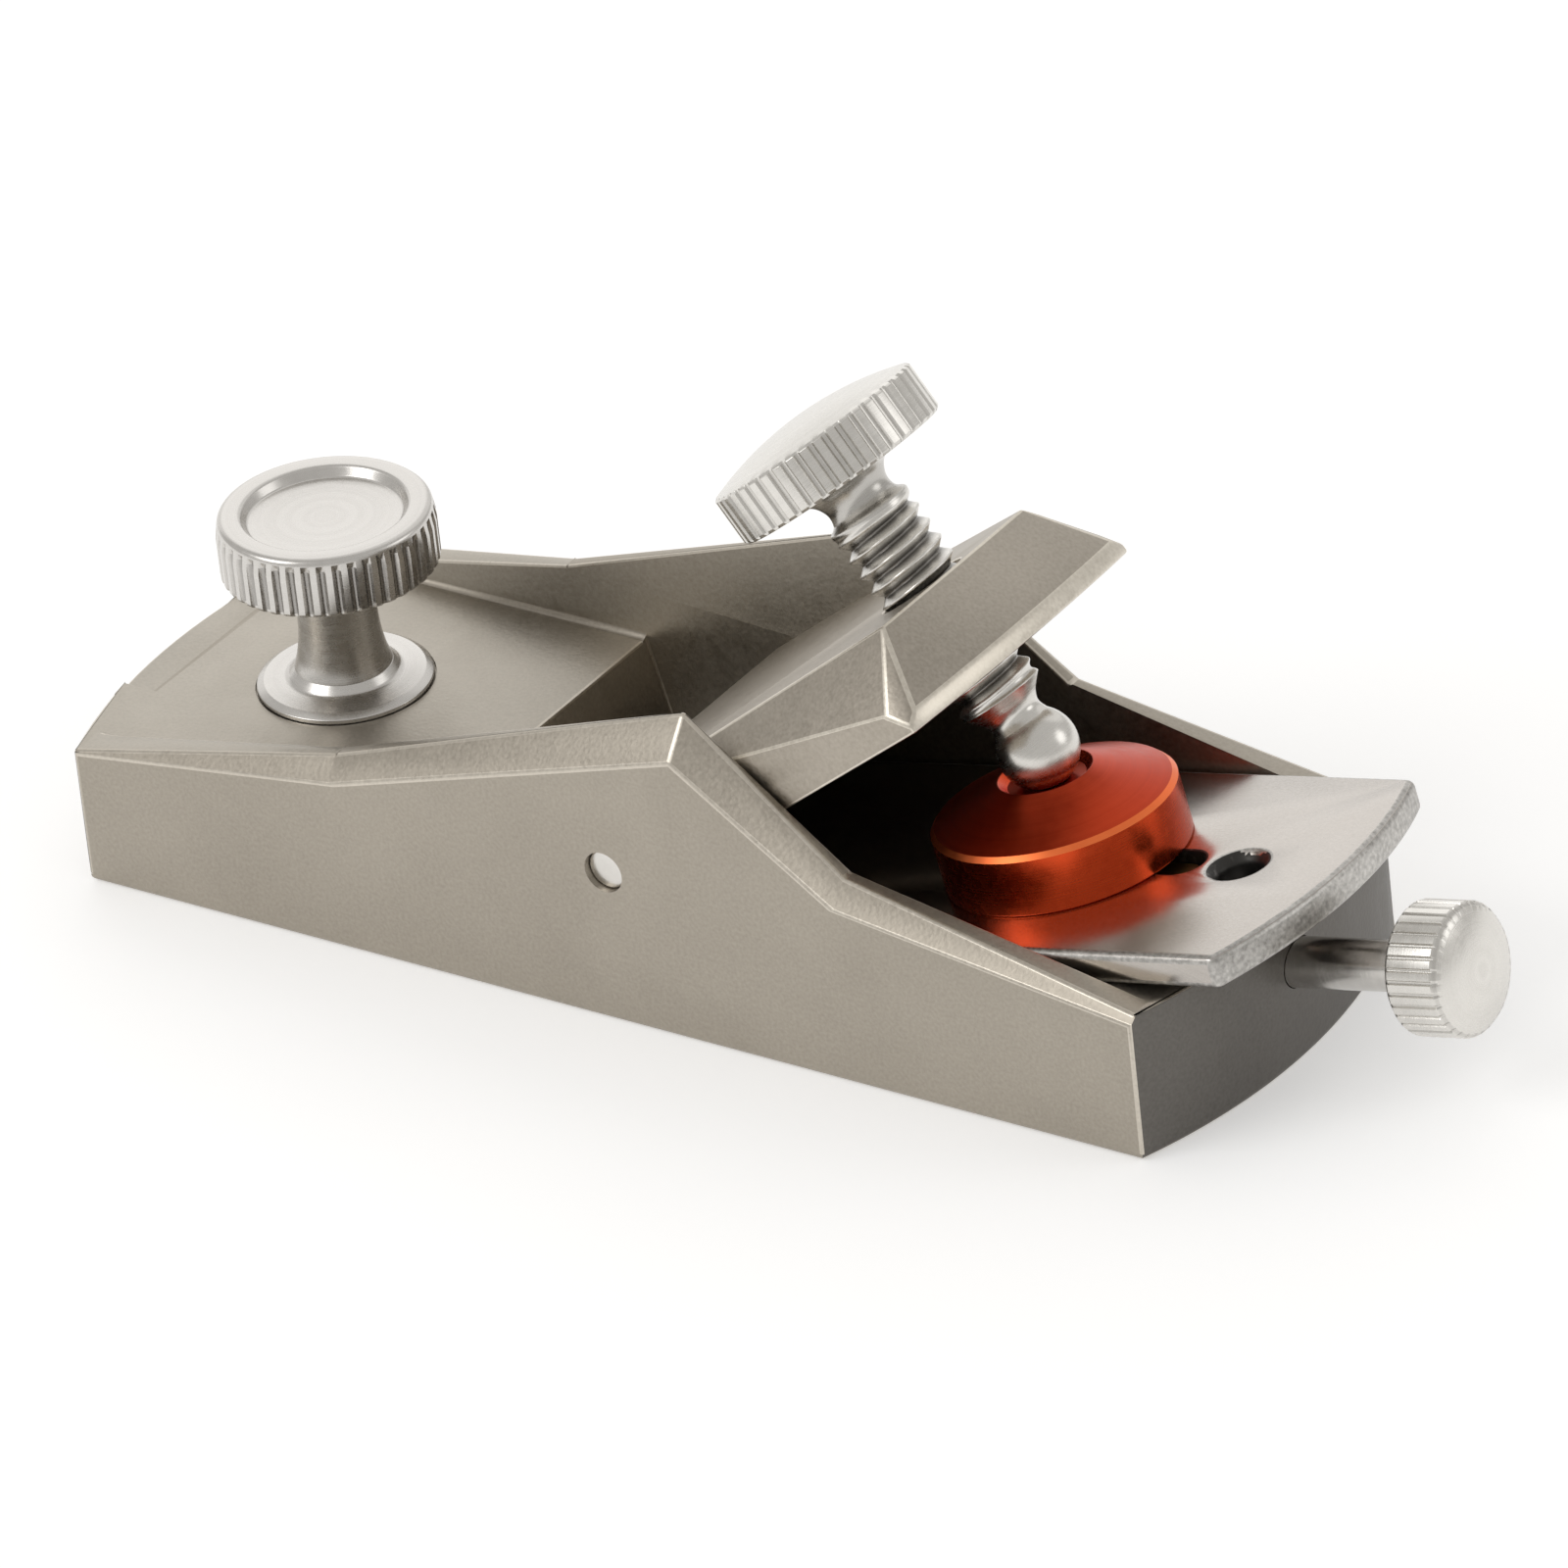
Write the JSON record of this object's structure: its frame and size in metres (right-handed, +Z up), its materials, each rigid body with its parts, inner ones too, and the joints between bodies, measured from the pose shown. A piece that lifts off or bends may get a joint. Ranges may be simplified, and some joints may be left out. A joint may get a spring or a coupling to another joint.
{
  "type": "block plane",
  "caption": "Low-angle metal block plane with a tilting lever cap, ball-ended clamp screw on a round pressure disc, and a screw depth adjuster.",
  "frame": {"origin": "on the sole, midway between the side walls and midway between the corners of the toe and the heel", "axes": "+X runs from the toe to the heel and the adjuster knob, +Y to the plane's right side seen from the heel, +Z up"},
  "size_m": [0.168, 0.05, 0.0702],
  "materials": {
    "blasted_titanium": "bead blasted, warm grey",
    "cap_metal": "bead blasted, warm grey",
    "turned_steel": "turned and polished",
    "pin_steel": "ground",
    "blade_steel": "ground satin",
    "orange_anodised": "orange-red anodised",
    "brass": "machined",
    "dark_steel": "blackened",
    "magnet_nickel": "nickel plated"
  },
  "bodies": {
    "body": {"plane_body": "blasted_titanium", "cross_pin": "pin_steel", "front_knob": "turned_steel", "front_knob_base": "turned_steel", "front_knob_stud": "pin_steel", "adjuster_fork": "dark_steel"},
    "cap": {"lever_cap": "cap_metal"},
    "disc": {"pressure_disc": "orange_anodised", "disc_magnet": "magnet_nickel"},
    "clamp": {"clamp_screw": "turned_steel"},
    "iron": {"blade": "blade_steel", "adjuster_carriage": "brass", "drive_dog": "brass"},
    "adjuster": {"adjuster_screw": "pin_steel", "adjuster_knob": "turned_steel", "knob_grub_screw": "dark_steel"}
  },
  "joints": [
    {"name": "cap_tilt", "type": "hinge", "parent": "body", "child": "cap", "pos_m": [0.0019, 0, 0.0186], "axis": [0, 1, 0], "range_deg": [0, 2.5]},
    {"name": "clamp_lift", "type": "slide", "parent": "cap", "child": "disc", "axis": [-0.6088, 0, 0.7934], "range_m": [0, 0.006]},
    {"name": "clamp_turn", "type": "hinge", "parent": "disc", "child": "clamp", "pos_m": [0.04178, 0, 0.03011], "axis": [-0.6088, 0, 0.7934], "range_deg": [0, 1080]},
    {"name": "depth_feed", "type": "slide", "parent": "body", "child": "iron", "axis": [0.9781, 0, 0.2079], "range_m": [-0.0006, 0.003]},
    {"name": "depth_turn", "type": "hinge", "parent": "body", "child": "adjuster", "pos_m": [0.07033, 0, 0.01118], "axis": [0.9781, 0, 0.2079], "range_deg": [-270, 1350]}
  ],
  "couplings": [
    {"joint": "clamp_turn", "follows": "clamp_lift", "rad_per_m": 3141.5},
    {"joint": "cap_tilt", "follows": "clamp_lift", "rad_per_m": 7.25},
    {"joint": "depth_turn", "follows": "depth_feed", "rad_per_m": 7853.9}
  ]
}
